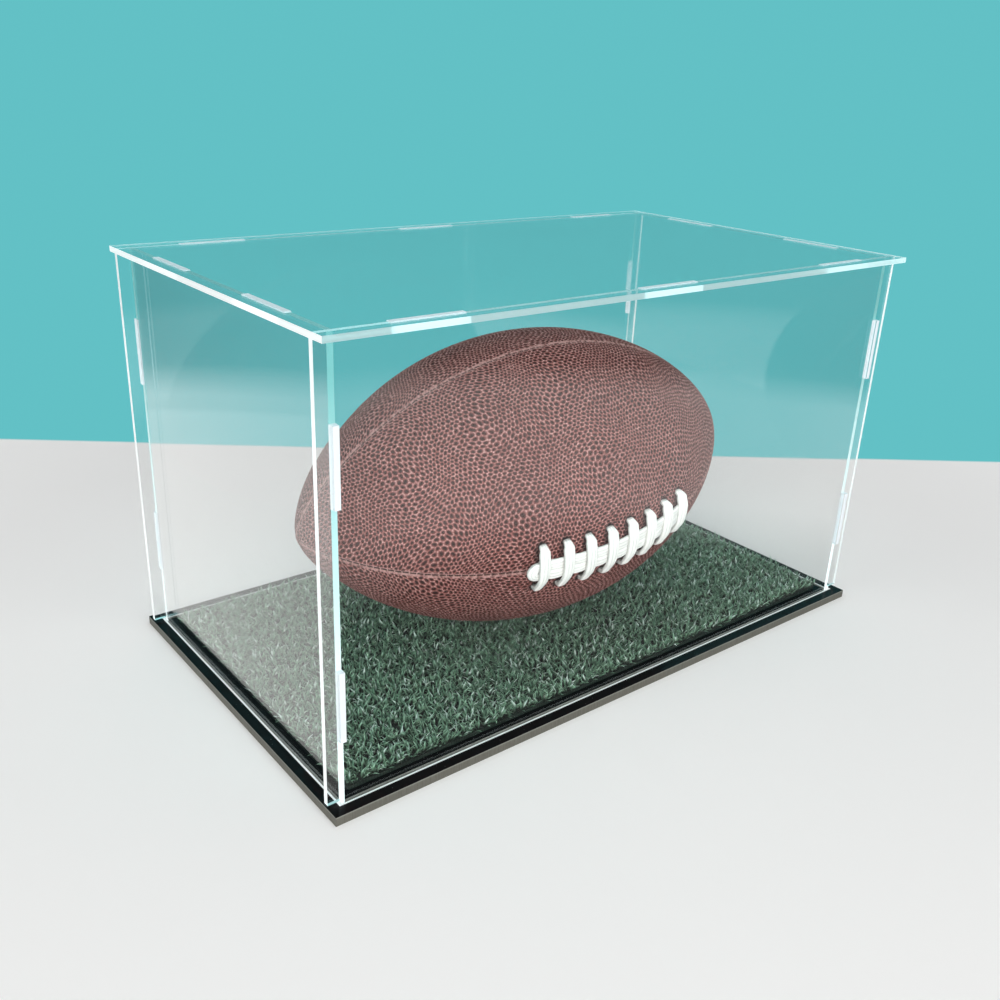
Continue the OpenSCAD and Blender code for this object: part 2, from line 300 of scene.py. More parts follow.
def black_acrylic():
    """Polished black top with a little dust and a painted glint line along the groove's outer rim, and
    greyer sawn edges with a painted highlight along their top.
    """
    g = Graph("black_acrylic")
    place = g.place()
    side = g.math("LESS_THAN", g.math("ABSOLUTE", g.axis(g.place("Normal"), "Z")), 0.5)
    sawn = g.noise(place, 1400, 2.0, stretch=(1, 1, 0.05))
    # Painted highlight: a lighter band just under the top of the sawn sides
    arris_highlight = g.span(g.axis(place, "Z"), BASE_TOP - 0.9 * MM, BASE_TOP - 0.2 * MM)
    edge_colour = g.mix(sawn, SAWN_DARK_COLOUR, SAWN_PALE_COLOUR)
    edge_colour = g.mix(g.math("MULTIPLY", arris_highlight, 0.6), edge_colour, ARRIS_HIGHLIGHT_COLOUR)
    specks = g.add("TexVoronoi", {"Vector": place, "Scale": 260.0}, out="Distance")
    dust = g.math("MULTIPLY", g.span(specks, 0.07, 0.03), g.span(g.noise(place, 60), 0.52, 0.62))
    top_colour = g.mix(dust, BLACK_COLOUR, DUST_COLOUR)
    # Painted glint: a thin pale line just outside the walls' groove
    top_colour = g.mix(groove_rim_glint(g, place), top_colour, RIM_GLINT_COLOUR)
    smear = g.span(g.noise(place, 22, 5.0, 0.65), 0.4, 0.75, 0.05, 0.17)
    return g.finish(g.principled(
        Base_Color=g.mix(side, top_colour, edge_colour),
        Roughness=g.blend(side, smear, 0.48),
        Specular_IOR_Level=0.06,
        Normal=g.bump(g.math("MULTIPLY", sawn, side), 0.05 * MM, 0.6),
    ))


def turf_blade_material(name, root, body, tip):
    """A plastic blade, each one a little different: painted shade darkens it towards its root, a painted
    highlight lightens its tip, and some blades are paler, partly faded plastic and partly painted glints.
    """
    g = Graph(name)
    own = g.attribute("own")
    height = g.attribute("height")
    green = g.mix(g.span(own, 0.0, 0.9), body, (body[0] * 2.2, body[1] * 1.9, body[2] * 2.0, 1))
    # Painted shade darkens each blade towards its root
    colour = g.mix(g.span(height, 0.15, 0.75), root, green)
    # Painted highlight lightens the tips
    colour = g.mix(g.math("MULTIPLY", g.span(height, 0.55, 1.0), g.span(own, 0.2, 1.0)), colour, tip)
    # Some blades paler: partly faded plastic, partly painted glints
    faded_and_glint = g.math("MULTIPLY", g.math("GREATER_THAN", own, 0.89), g.span(height, 0.3, 0.6))
    colour = g.mix(g.math("MULTIPLY", faded_and_glint, 0.9), colour, FADED_AND_GLINT_COLOUR)
    ribs = g.noise(g.place(), 2600, 1.0)
    return g.finish(g.principled(
        Base_Color=colour,
        Roughness=g.span(own, 0, 1, 0.36, 0.62),
        Normal=g.bump(ribs, 0.05 * MM, 0.5),
    ))


def woven_backing():
    """Latex-coated weave under the pile."""
    g = Graph("woven_backing")
    place = g.place()
    weave = g.math("MULTIPLY", g.wave(place, 190.0, "X", 1.2), g.wave(place, 190.0, "Y", 1.2))
    return g.finish(g.principled(
        Base_Color=g.mix(weave, (0.008, 0.012, 0.009, 1), (0.030, 0.045, 0.034, 1)),
        Roughness=0.9,
        Normal=g.bump(weave, 0.3 * MM),
    ))


def hexagonal_spots(g, flat):
    """Distance to the nearest point of a hexagonal pattern. All of it is in pitches."""
    long = math.sqrt(3)
    cell = g.add("VectorMath", {0: flat, 1: (1, 1 / long, 0)}, operation="MULTIPLY")
    nearest = []
    for shift in ((0.5, 0.5, 0), (0, 0, 0)):
        moved = g.add("VectorMath", {0: cell, 1: shift}, operation="ADD")
        part = g.add("VectorMath", {0: moved}, operation="FRACTION")
        away = g.add("VectorMath", {0: part, 1: (-0.5, -0.5, 0)}, operation="ADD")
        true = g.add("VectorMath", {0: away, 1: (1, long, 0)}, operation="MULTIPLY")
        nearest.append(g.add("VectorMath", {0: true}, out="Value", operation="LENGTH"))
    return g.math("MINIMUM", *nearest)


def ball_leather():
    """Embossed leather: dimples in a lighter net, dark partly in their own colour and partly by painted
    shade in the pits, painted highlights on the net's crests and on the seams' rounded edges, and dark lace
    hole openings with painted shade and shadow round them.
    """
    g = Graph("ball_leather")
    place = g.place()
    flat = g.add("UVMap", uv_map="grain")
    away = hexagonal_spots(g, flat)
    seam = g.attribute("seam")
    grain = g.noise(place, 2600, 3.0, 0.6)
    uneven = g.noise(place, 420, 2.0)
    patch = g.span(g.noise(place, 26, 3.0, 0.55), 0.35, 0.65)
    away = g.math("ADD", away, g.math("MULTIPLY", g.math("SUBTRACT", uneven, 0.5), 0.30))
    dimple = g.span(away, 0.44, 0.22)
    # Dimples darker, partly their own colour and partly painted shade in the pits
    dark = g.mix(patch, DIMPLE_AND_SHADE_COLOUR, WORN_DIMPLE_AND_SHADE_COLOUR)
    pale = g.mix(patch, NET_COLOUR, DARK_NET_COLOUR)
    # Painted highlight on the net's crests
    crest = g.math("MULTIPLY", g.span(away, 0.44, 0.54), g.span(grain, 0.42, 0.60))
    pale = g.mix(g.math("MULTIPLY", crest, 0.90), pale, CREST_HIGHLIGHT_COLOUR)
    colour = g.mix(dimple, pale, dark)
    # Painted highlight on the seam's rounded edges, broken up by noise
    near_seam = g.math("MULTIPLY", g.span(seam, 0.25, 0.50), g.span(uneven, 0.38, 0.58, 0.25, 0.85))
    colour = g.mix(near_seam, colour, SEAM_RIDGE_HIGHLIGHT_COLOUR)
    colour = g.mix(g.span(seam, 0.80, 0.92), colour, SEAM_COLOUR)
    # Dark at each lace hole, with painted shade round it and painted shadow beside the cross laces
    colour = g.mix(g.span(g.attribute("hole"), 0.15, 0.75), colour, HOLE_AND_SHADE_COLOUR)
    height = g.math("ADD", g.math("MULTIPLY", grain, 0.25), g.span(away, 0.16, 0.46))
    return g.finish(g.principled(
        Base_Color=colour,
        Roughness=g.span(dimple, 0, 1, 0.50, 0.75),
        Specular_IOR_Level=0.12,
        Normal=g.bump(height, 0.22 * MM, 0.8),
    ))


def lace_vinyl():
    """White ribbed lace with a faint weave, darker and uneven between its ribs."""
    g = Graph("lace_vinyl")
    place = g.place()
    rib = g.attribute("rib")
    weave = g.noise(place, 1500, 2.0)
    stain = g.span(g.noise(place, 180, 3.0), 0.3, 0.7, 0.35, 0.9)
    # Darker, unevenly, between the ribs
    rib_groove_darkening = g.math("MULTIPLY", g.span(rib, 0.35, 0.0), stain)
    return g.finish(g.principled(
        Base_Color=g.mix(rib_groove_darkening, LACE_COLOUR, RIB_GROOVE_COLOUR),
        Roughness=g.span(weave, 0.3, 0.7, 0.42, 0.58),
        Normal=g.bump(weave, 0.08 * MM, 0.8),
    ))


def stitch_thread():
    """Twisted thread, paler than the leather."""
    g = Graph("stitch_thread")
    twist = g.wave(g.place(), 900.0, "DIAGONAL", 2.0)
    return g.finish(g.principled(
        Base_Color=g.mix(twist, (0.30, 0.14, 0.125, 1), (0.48, 0.29, 0.265, 1)),
        Roughness=0.7,
        Normal=g.bump(twist, 0.1 * MM),
    ))


def lining_cloth():
    """Unbleached cloth under the leather."""
    g = Graph("lining_cloth")
    place = g.place()
    weave = g.math("MULTIPLY", g.wave(place, 320.0, "X"), g.wave(place, 320.0, "Z"))
    return g.finish(g.principled(
        Base_Color=g.mix(weave, (0.36, 0.33, 0.27, 1), (0.60, 0.56, 0.48, 1)),
        Roughness=0.9,
        Normal=g.bump(weave, 0.2 * MM),
    ))


def black_rubber():
    """Dull rubber with a faint bloom."""
    g = Graph("black_rubber")
    bloom = g.noise(g.place(), 300, 4.0, 0.6)
    return g.finish(g.principled(
        Base_Color=g.mix(bloom, (0.010, 0.009, 0.009, 1), (0.028, 0.026, 0.025, 1)),
        Roughness=g.span(bloom, 0.3, 0.7, 0.5, 0.7),
        Normal=g.bump(bloom, 0.05 * MM),
    ))


# ---- Meshes ----

def make_mesh(name, points, faces, attributes=None, maps=None):
    """A smooth mesh object from arrays, with its numbers and flat coordinates for each point."""
    mesh = bpy.data.meshes.new(name)
    mesh.from_pydata(points.tolist(), [], faces)
    corners = np.zeros(len(mesh.loops), np.int32)
    mesh.loops.foreach_get("vertex_index", corners)
    for key, places in (maps or {}).items():
        layer = mesh.uv_layers.new(name=key)
        layer.uv.foreach_set("vector", places[corners].astype(np.float32).ravel())
    for key, values in (attributes or {}).items():
        layer = mesh.attributes.new(key, "FLOAT", "POINT")
        layer.data.foreach_set("value", np.ascontiguousarray(values, dtype=np.float32))
    mesh.shade_smooth()
    mesh.update()
    piece = bpy.data.objects.new(name, mesh)
    bpy.context.scene.collection.objects.link(piece)
    return piece


def tube_faces(rings, around):
    """Faces of a tube of rings with closed ends, outward when a ring runs against the clock."""
    at = np.arange(rings * around).reshape(rings, around)
    after = np.roll(at, -1, axis=1)
    quads = np.stack([at[:-1], after[:-1], after[1:], at[1:]], axis=-1).reshape(-1, 4)
    return [*quads.tolist(), at[0][::-1].tolist(), at[-1].tolist()]


def to_world(points, place):
    matrix = np.array(place)
    return points @ matrix[:3, :3].T + matrix[:3, 3]


# ---- The ball's surface ----

def ball_radius(u):
    return HALF_DIAMETER * (1 - u * u) ** TIP_SHAPE


def ball_slope(u):
    """Angle of the outline to the ball's axis, in radians."""
    rise = -2 * TIP_SHAPE * u * (1 - u * u) ** (TIP_SHAPE - 1) * HALF_DIAMETER / HALF_LENGTH
    return np.arctan(rise)


OUTLINE_STEPS = 4001


def seam_stations():
    """Shares of the half length from tip to tip, and how far along the outline each one lies."""
    phi = np.linspace(-math.pi / 2, math.pi / 2, OUTLINE_STEPS)[1:-1]
    u = np.sin(phi)
    steps = np.hypot(np.diff(u * HALF_LENGTH), np.diff(ball_radius(u)))
    return u, np.concatenate([[0], np.cumsum(steps)])


OUTLINE_U, OUTLINE_S = seam_stations()


def on_ball(u, angle, lift):
    """Points in the ball's own axes, from shares of the half length, angles from the seam and lifts."""
    slope = ball_slope(u)
    radius = ball_radius(u) + lift * np.cos(slope)
    x = u * HALF_LENGTH - lift * np.sin(slope)
    return np.stack(np.broadcast_arrays(x, radius * np.cos(angle), radius * np.sin(angle)), axis=-1)


# ---- Leather panels ----

DIMPLE_PITCH = 2.8 * MM
DIMPLE_DEPTH = 0.32 * MM
GRAIN_SWIM = 0.60
GRAIN_JITTER = 0.065
SEAM_DEPTH = 1.5 * MM
SEAM_HALF_WIDTH = 1.9 * MM
SEAM_GAP = 0.12 * MM
PANEL_ROWS = 590
PANEL_COLUMNS = 158
EDGE_STEPS = np.array([0, 0.3, 0.6, 0.95, 1.35, 1.8]) * MM
INNER_COLUMNS = 9


def grain_place(s, t, seed):
    """Flat coordinates of the embossed pattern, in pitches, with rows that swim and points out of true."""
    sin = np.sin
    x, y = s / DIMPLE_PITCH, t / DIMPLE_PITCH
    slow_x = sin(0.34 * x + 0.9 * sin(0.23 * y + seed)) + 0.7 * sin(0.52 * y - 0.21 * x + 2 * seed)
    slow_y = sin(0.31 * y + 1.1 * sin(0.27 * x - seed)) + 0.7 * sin(0.47 * x + 0.26 * y - seed)
    quick_x = sin(2.13 * x + 1.27 * y + seed) + sin(1.46 * x - 2.35 * y) + sin(2.9 * y + 0.7 * x - seed)
    quick_y = sin(1.91 * y - 1.58 * x - seed) + sin(2.47 * y + 1.13 * x) + sin(2.8 * x - 0.4 * y + seed)
    new_x = x + GRAIN_SWIM * slow_x + GRAIN_JITTER * quick_x
    new_y = y + GRAIN_SWIM * slow_y + GRAIN_JITTER * quick_y
    return new_x, new_y


def dimple_depth(x, y):
    """Share of the full depth at flat coordinates, deepest at the hexagonal pattern's points."""
    long = math.sqrt(3)
    near = np.full(x.shape, 9.0)
    for shift in (0.5, 0.0):
        away_x = np.mod(x + shift, 1) - 0.5
        away_y = (np.mod(y / long + shift, 1) - 0.5) * long
        near = np.minimum(near, np.hypot(away_x, away_y))
    share = np.clip((0.46 - near) / 0.34, 0, 1)
    return share * share * (3 - 2 * share)


def hollow(distance, radius, depth):
    """Depth of a soft funnel at a distance from its middle."""
    return depth * np.clip(1 - (distance / radius) ** 2, 0, 1) ** 0.7


def end_drift(share):
    """How far along the ball a cross lace has slid, more towards its lower end."""
    return -LACE_DRIFT * np.clip(share, 0, 1) ** 2 / HALF_LENGTH


def panel_hollows(points, quarter):
    """How far the leather sinks round each lace hole and in the valve's hole, and how dark the leather is
    painted there: the hole itself, painted shade over its funnel, and a painted shadow beside each cross
    lace.
    """
    sink, hole_and_shade_share = np.zeros(points.shape[:2]), np.zeros(points.shape[:2])
    if quarter in (0, 3):
        side = 1 if quarter == 0 else -1
        for u in lace_shares():
            hole = on_ball(u + end_drift(side), side * hole_angle(u), 0)
            away = np.linalg.norm(points - hole, axis=-1)
            sink = np.maximum(sink, hollow(away, LACE_HOLE_R, LACE_HOLE_SINK))
            # Dark lace hole, with painted shade fading out over its funnel
            hole_and_shade_share = np.maximum(hole_and_shade_share, np.clip(1.3 - away / (3.4 * MM), 0, 1))
            # Painted shadow in a strip along each side of a cross lace
            beside = np.abs(points[..., 0] - u * HALF_LENGTH + 0.6 * MM) - 0.45 * LACE_W
            along = np.abs(points[..., 2]) < math.sin(hole_angle(u)) * bend_radius(u)
            hole_and_shade_share = np.maximum(hole_and_shade_share, 0.55 * np.clip(1 - beside / (1.7 * MM), 0, 1) * along)
    if quarter == 2:
        valve = on_ball(VALVE_X / HALF_LENGTH, math.radians(VALVE_TURN), 0)
        away = np.linalg.norm(points - valve, axis=-1)
        around = hollow(away, 8 * MM, 0.4 * MM)
        sink = np.maximum(sink, np.where(away < VALVE_D / 2 + 0.5 * MM, 1.8 * MM, around))
    return sink, hole_and_shade_share


def leather_panel(node, quarter, material):
    """One of the four panels: a closed shell, embossed outside and drawn down into its two seams."""
    along = np.linspace(0.6 * MM, OUTLINE_S[-1] - 0.6 * MM, PANEL_ROWS)
    u = np.interp(along, OUTLINE_S, OUTLINE_U)[:, None]
    width = ball_radius(u) * math.pi / 2 - 2 * SEAM_GAP
    edge = EDGE_STEPS[None, :] * np.minimum(1, width / (4 * EDGE_STEPS[-1]))
    share = np.linspace(0, 1, PANEL_COLUMNS - 2 * len(EDGE_STEPS) + 2)[None, 1:-1]
    middle = edge[:, -1:] + share * (width - 2 * edge[:, -1:])
    across = np.concatenate([edge, middle, width - edge[:, ::-1]], axis=1)
    from_seam = np.minimum(across, width - across)
    start = math.radians(90 * quarter)
    angle = start + (SEAM_GAP + across) / ball_radius(u)
    near_tip = np.clip(np.minimum(along, OUTLINE_S[-1] - along)[:, None] / (12 * MM), 0.25, 1)
    fade = np.clip(from_seam / (1.6 * MM) - 0.3, 0, 1) * near_tip
    grain_x, grain_y = grain_place(along[:, None] + 0 * across, across - width / 2, quarter)
    rounding = 1 - np.sqrt(np.clip(1 - np.clip(1 - from_seam / SEAM_HALF_WIDTH, 0, 1) ** 2, 0, 1))
    sunk = -DIMPLE_DEPTH * dimple_depth(grain_x, grain_y) * fade * (1 - rounding) - SEAM_DEPTH * rounding
    hollows, holes_and_shade = panel_hollows(on_ball(u, angle, 0), quarter)
    outer = on_ball(u, angle, sunk - hollows)
    inner_share = np.linspace(1, 0, INNER_COLUMNS)[None, :]
    inner = on_ball(u, start + (SEAM_GAP + inner_share * width) / ball_radius(u), -LEATHER_T)
    points = np.concatenate([outer, inner], axis=1)
    blank = np.zeros((PANEL_ROWS, INNER_COLUMNS))

    def for_shell(outer_values):
        return np.concatenate([outer_values, blank], axis=1).ravel()

    # Nearness to the seam, which places the dark seam line and the painted highlight on its rounded edges
    near_seam = np.clip(1 - from_seam / (2.4 * MM), 0, 1)
    grain = np.stack([for_shell(grain_x), for_shell(grain_y)], axis=-1)
    shell = to_world(points.reshape(-1, 3), BALL_PLACE)
    faces = tube_faces(PANEL_ROWS, points.shape[1])
    # The hole numbers also carry painted shade and shadow round the laces
    numbers = {"seam": for_shell(near_seam), "hole": for_shell(holes_and_shade)}
    piece = make_mesh("dimpled_" + node, shell, faces, numbers, {"grain": grain})
    dress(piece, material, "football", "ball_leather", node)


def dress(piece, material, body, slot, *nodes):
    """Gives a piece its material and its body, and hides the CAD nodes that it stands for. The slot is not
    used.
    """
    piece.data.materials.append(material)
    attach(piece, body)
    if nodes:
        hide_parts(*nodes)


# ---- Laces ----

def lace_shares():
    return [(LACE_X + (i - (LACE_COUNT - 1) / 2) * LACE_PITCH) / HALF_LENGTH for i in range(LACE_COUNT)]


def bend_radius(u):
    return ball_radius(u) / math.cos(ball_slope(u))


def hole_angle(u):
    return LACE_SPAN / 2 / bend_radius(u)


RIB_COUNT = 3
RIB_DEPTH = 0.16 * MM
SECTION_POINTS = 36
SECTION_SQUARENESS = 0.72
CROSS_RINGS, RUNNER_RINGS, LOOP_RINGS = 45, 220, 41
DIVE_START = 0.82
RUNNER_PAST = 2.5 * MM


def lace_section(width, thickness):
    """Outline of a ribbed flat lace: sideways, up, and how near a rib's crest each point is."""
    a = np.linspace(0, 2 * math.pi, SECTION_POINTS, endpoint=False)
    side = np.sign(np.cos(a)) * np.abs(np.cos(a)) ** SECTION_SQUARENESS * width / 2
    up = np.sign(np.sin(a)) * np.abs(np.sin(a)) ** SECTION_SQUARENESS * thickness / 2
    crest = 0.5 - 0.5 * np.cos(2 * math.pi * RIB_COUNT * (side / width + 0.5))
    up = up - np.sign(np.sin(a)) * RIB_DEPTH * (1 - crest) * np.abs(np.sin(a))
    return side, up, crest


def unit(vectors):
    return vectors / np.linalg.norm(vectors, axis=1)[:, None]


def lace_tube(path, sideways, upward, widths, thicknesses):
    """Sweeps a ribbed section along a path, in the ball's own axes. Returns points, crests and rings."""
    rings, crests = [], []
    for place, side_way, up_way, width, thickness in zip(path, sideways, upward, widths, thicknesses):
        side, up, crest = lace_section(width, thickness)
        rings.append(place + side[:, None] * side_way + up[:, None] * up_way)
        crests.append(crest)
    return np.concatenate(rings), np.concatenate(crests), len(path)


def lying_lace(u, away, lift, widths, thicknesses):
    """A lace that lies on the leather, at a distance beside the seam and a lift over the leather."""
    angle = away / ball_radius(u)
    path = on_ball(u, angle, lift)
    step = unit(np.gradient(path, axis=0))
    sideways = unit(np.cross(step, on_ball(u, angle, lift + MM) - path))
    return lace_tube(path, sideways, np.cross(sideways, step), widths, thicknesses)


def joined(parts):
    """Several closed tubes as one mesh: its points, its faces and its crests."""
    points, faces, crests, count = [], [], [], 0
    for tube, crest, rings in parts:
        faces += [[i + count for i in face] for face in tube_faces(rings, SECTION_POINTS)]
        points.append(tube)
        crests.append(crest)
        count += len(tube)
    return np.concatenate(points), faces, np.concatenate(crests)


def cross_lace(u, rng):
    """One cross lace, from under the leather on one side over the two runners to the other."""
    share = np.linspace(-1, 1, CROSS_RINGS)
    bulge = 1 / (1 + (np.abs(share) / 0.62) ** 6)
    high = CROSS_LIFT + LACE_T / 2
    low = LACE_T / 2 + 0.9 * MM
    lift = low + (high - low) * bulge
    dive = np.clip((np.abs(share) - DIVE_START) / 0.18, 0, 1)
    lift = lift - (low + LEATHER_T * 0.8) * dive ** 2.2
    sway = (rng.uniform(-0.35, 0.35) * share + rng.uniform(-0.25, 0.25)) * MM
    own_u = u + sway / HALF_LENGTH + end_drift(share)
    path = on_ball(own_u, hole_angle(u) * share, lift)
    along_ball = np.tile([1.0, 0.0, 0.0], (len(path), 1))
    upward = unit(np.cross(along_ball, unit(np.gradient(path, axis=0))))
    width = 0.90 * LACE_W * (1 - 0.34 * dive ** 0.7) * (1 - 0.30 * np.clip(share, 0, 1))
    thick = LACE_T * 1.35 * (1 + 0.10 * bulge)
    return lace_tube(path, along_ball, upward, width, thick)


def runner(side, rng):
    """One of the two laces that lie along the seam, pinched a little under each cross lace."""
    first, last = lace_shares()[0], lace_shares()[-1]
    u = np.linspace(first - RUNNER_PAST / HALF_LENGTH, last + RUNNER_PAST / HALF_LENGTH, RUNNER_RINGS)
    x = (u - first) * HALF_LENGTH / LACE_PITCH
    between = 0.5 - 0.5 * np.cos(2 * math.pi * x)
    wave = np.interp(x, np.arange(-1, LACE_COUNT + 1), rng.uniform(-0.25, 0.25, LACE_COUNT + 2))
    away = side * (RUNNER_Y - 0.75 * MM + 0.15 * MM * between) + 0.6 * wave * MM
    end = np.clip(np.maximum(first - u, u - last) / (RUNNER_PAST / HALF_LENGTH), 0, 1)
    lift = LACE_T / 2 + 0.25 * MM + 0.55 * MM * between * (1 - end) - 0.5 * MM * end
    width = (LACE_W - 0.5 * MM) * (1 - 0.15 * end ** 2)
    thick = LACE_T * (0.98 + 0.18 * between)
    return lying_lace(u, away, lift, width, thick)


def end_loop():
    """The bight past the first cross lace, where the lace turns back along the other side of the seam."""
    swing = np.linspace(-math.pi / 2, math.pi / 2, LOOP_RINGS)
    x = lace_shares()[0] * HALF_LENGTH - 2.2 * MM - 4.0 * MM * np.cos(swing)
    away = (RUNNER_Y - 0.5 * MM) * np.sin(swing)
    lift = LACE_T / 2 + 0.6 * MM + 0.7 * MM * np.cos(swing)
    width = 4.8 * MM + 1.4 * MM * np.cos(swing)
    thick = 2.9 * MM + 0.7 * MM * np.cos(swing)
    return lying_lace(x / HALF_LENGTH, away, lift, width, thick)


def lace_piece(name, parts, node, material):
    points, faces, crests = joined(parts)
    piece = make_mesh(name, to_world(points, BALL_PLACE), faces, {"rib": crests})
    dress(piece, material, "football", "lace_white", node)


def make_laces(material):
    rng = np.random.default_rng(8)
    crosses = [cross_lace(u, rng) for u in lace_shares()]
    lace_piece("cross_laces", crosses, "lace_crosses", material)
    lengths = [runner(-1, rng), runner(1, rng), end_loop()]
    lace_piece("lengthwise_laces", lengths, "lace_runners", material)


# ---- Stitches ----

STITCH_PITCH = 4.0 * MM
STITCH_HALF = 1.35 * MM
STITCH_R = 0.33 * MM
STITCH_RINGS, STITCH_AROUND = 7, 8
UNSTITCHED_TIP = 9 * MM


def stitch(s, angle, rng):
    """One thread over a seam: a thin arched tube whose two ends go into the leather."""
    u = float(np.interp(s, OUTLINE_S, OUTLINE_U))
    share = np.linspace(-1, 1, STITCH_RINGS)
    lift = -0.45 * MM - 0.9 * MM * np.abs(share) ** 4
    slant = rng.uniform(-0.12, 0.12)
    own_u = u + share * STITCH_HALF * slant / HALF_LENGTH
    centre = on_ball(own_u, angle + share * STITCH_HALF / ball_radius(u), lift)
    a = np.linspace(0, 2 * math.pi, STITCH_AROUND, endpoint=False)
    outward = on_ball(u, angle, MM) - on_ball(u, angle, 0.0)
    outward /= np.linalg.norm(outward)
    step = centre[-1] - centre[0]
    step /= np.linalg.norm(step)
    side = np.cross(step, outward)
    ring = STITCH_R * (np.cos(a)[:, None] * side + np.sin(a)[:, None] * outward)
    return (centre[:, None, :] + ring[None, :, :]).reshape(-1, 3)


def make_stitching(material):
    """Threads along the four seams, left out where the lacing closes the first one."""
    rng = np.random.default_rng(21)
    laced_from = lace_shares()[0] - 8 * MM / HALF_LENGTH
    laced_to = lace_shares()[-1] + 6 * MM / HALF_LENGTH
    tube_pattern = tube_faces(STITCH_RINGS, STITCH_AROUND)
    points, faces, count = [], [], 0
    for quarter in range(4):
        for s in np.arange(UNSTITCHED_TIP, OUTLINE_S[-1] - UNSTITCHED_TIP, STITCH_PITCH):
            u = float(np.interp(s, OUTLINE_S, OUTLINE_U))
            if quarter == 0 and laced_from < u < laced_to:
                continue
            tube = stitch(s, math.radians(90 * quarter), rng)
            faces += [[i + count for i in face] for face in tube_pattern]
            points.append(tube)
            count += len(tube)
    piece = make_mesh("seam_stitching", to_world(np.concatenate(points), BALL_PLACE), faces)
    dress(piece, material, "football", "ball_leather")


# ---- Turf ----

TUFT_PITCH = 3.6 * MM
BLADES_IN_TUFT = 3
BALL_ROOM = 0.3 * MM
WALL_ROOM = 0.6 * MM


def tuft_roots(rng):
    """Where each blade leaves the backing: rows of tufts, each of a few blades."""
    lo = np.array([MAT_LO.x, MAT_LO.y]) + 0.8 * MM
    hi = np.array([MAT_HI.x, MAT_HI.y]) - 0.8 * MM
    xs = np.arange(lo[0], hi[0], TUFT_PITCH)
    ys = np.arange(lo[1], hi[1], TUFT_PITCH)
    grid = np.stack(np.meshgrid(xs, ys, indexing="ij"), axis=-1).reshape(-1, 2)
    tufts = grid + rng.uniform(-0.45, 0.45, grid.shape) * TUFT_PITCH
    roots = np.repeat(tufts, BLADES_IN_TUFT, axis=0)
    roots = roots + rng.normal(0, 0.75 * MM, (len(grid) * BLADES_IN_TUFT, 2))
    return np.clip(roots, lo, hi)


def below_ball(points):
    """Pushes points down until they lie clear under the ball."""
    inverse = np.array(BALL_PLACE.inverted())
    for _ in range(14):
        own = points @ inverse[:3, :3].T + inverse[:3, 3]
        u = np.clip(own[:, 0] / HALF_LENGTH, -0.9999, 0.9999)
        deep = ball_radius(u) + BALL_ROOM - np.hypot(own[:, 1], own[:, 2])
        points[:, 2] -= np.clip(deep, 0, None) * (points[:, 2] < BALL_CENTRE.z)
    points[:, 2] = np.maximum(points[:, 2], MAT_HI.z + 0.1 * MM)
    return points


def blade_points(roots, length, width, rng, lean, curl):
    """A blade's seven points: three at its root, three halfway and one at its tip."""
    count = len(roots)
    azimuth = rng.uniform(0, 2 * math.pi, count)
    tilt = np.radians(rng.uniform(lean[0], lean[1], count))
    bend = np.radians(rng.uniform(curl[0], curl[1], count))
    long = length * rng.uniform(0.78, 1.12, count)
    wide = width * rng.uniform(0.75, 1.2, count)
    way = np.stack([np.cos(azimuth), np.sin(azimuth), np.zeros(count)], axis=-1)
    flat = azimuth + rng.uniform(-0.9, 0.9, count)
    side = np.stack([-np.sin(flat), np.cos(flat), np.zeros(count)], axis=-1)
    root = np.concatenate([roots, np.full((count, 1), MAT_HI.z)], axis=1)

    def forward(start, angle, share):
        step = way * np.sin(angle)[:, None] + np.array([0, 0, 1]) * np.cos(angle)[:, None]
        return start + step * (long * share)[:, None], step

    middle, first_way = forward(root, tilt, 0.55)
    tip, _ = forward(middle, np.minimum(tilt + bend, math.radians(115)), 0.45)
    keel = np.cross(side, first_way)
    half = side * (wide / 2)[:, None]
    ridge = keel * (wide * 0.30)[:, None]
    ring = [root - half, root + half, root + ridge]
    upper = [middle - 0.92 * half, middle + 0.92 * half, middle + ridge * 0.8]
    return np.stack([*ring, *upper, tip], axis=1)


BLADE_FACES = [(0, 2, 1), (0, 1, 4, 3), (1, 2, 5, 4), (2, 0, 3, 5), (3, 4, 6), (4, 5, 6), (5, 3, 6)]
BLADE_HEIGHTS = [0, 0, 0, 0.58, 0.58, 0.58, 1.0]


def blade_field(name, length, width, lean, curl, seed):
    """Blades over the whole mat, leaning and curling by angles in degrees, clear of walls and ball."""
    rng = np.random.default_rng(seed)
    points = blade_points(tuft_roots(rng), length, width, rng, lean, curl)
    count = len(points)
    flat = points.reshape(-1, 3)
    side = SHEET_T + WALL_ROOM
    flat[:, 0] = np.clip(flat[:, 0], WALL_X[0] + side, WALL_X[1] - side)
    flat[:, 1] = np.clip(flat[:, 1], -FOOT_Y + side, FOOT_Y - side)
    flat = below_ball(flat)
    per_blade = len(BLADE_HEIGHTS)
    first = np.arange(count) * per_blade
    faces = [(first[:, None] + np.array(face)).tolist() for face in BLADE_FACES]
    faces = [face for group in faces for face in group]
    own = rng.uniform(0, 1, count)
    numbers = {"own": np.repeat(own, per_blade), "height": np.tile(BLADE_HEIGHTS, count)}
    return make_mesh(name, flat, faces, numbers)


def make_turf():
    blade = turf_blade_material("turf_blade", BLADE_ROOT_SHADE_COLOUR, BLADE_COLOUR, BLADE_TIP_HIGHLIGHT_COLOUR)
    thatch = turf_blade_material("turf_thatch", BLADE_ROOT_SHADE_COLOUR, THATCH_COLOUR, THATCH_TIP_HIGHLIGHT_COLOUR)
    blades = blade_field("turf_blades", 7.8 * MM, 1.35 * MM, (4, 52), (0, 38), 5)
    dress(blades, blade, "base", "turf_pile", "turf_pile")
    short = blade_field("turf_thatch", 5.6 * MM, 1.25 * MM, (8, 62), (0, 45), 6)
    dress(short, thatch, "base", "turf_pile")


# ---- Stage, lights and camera ----

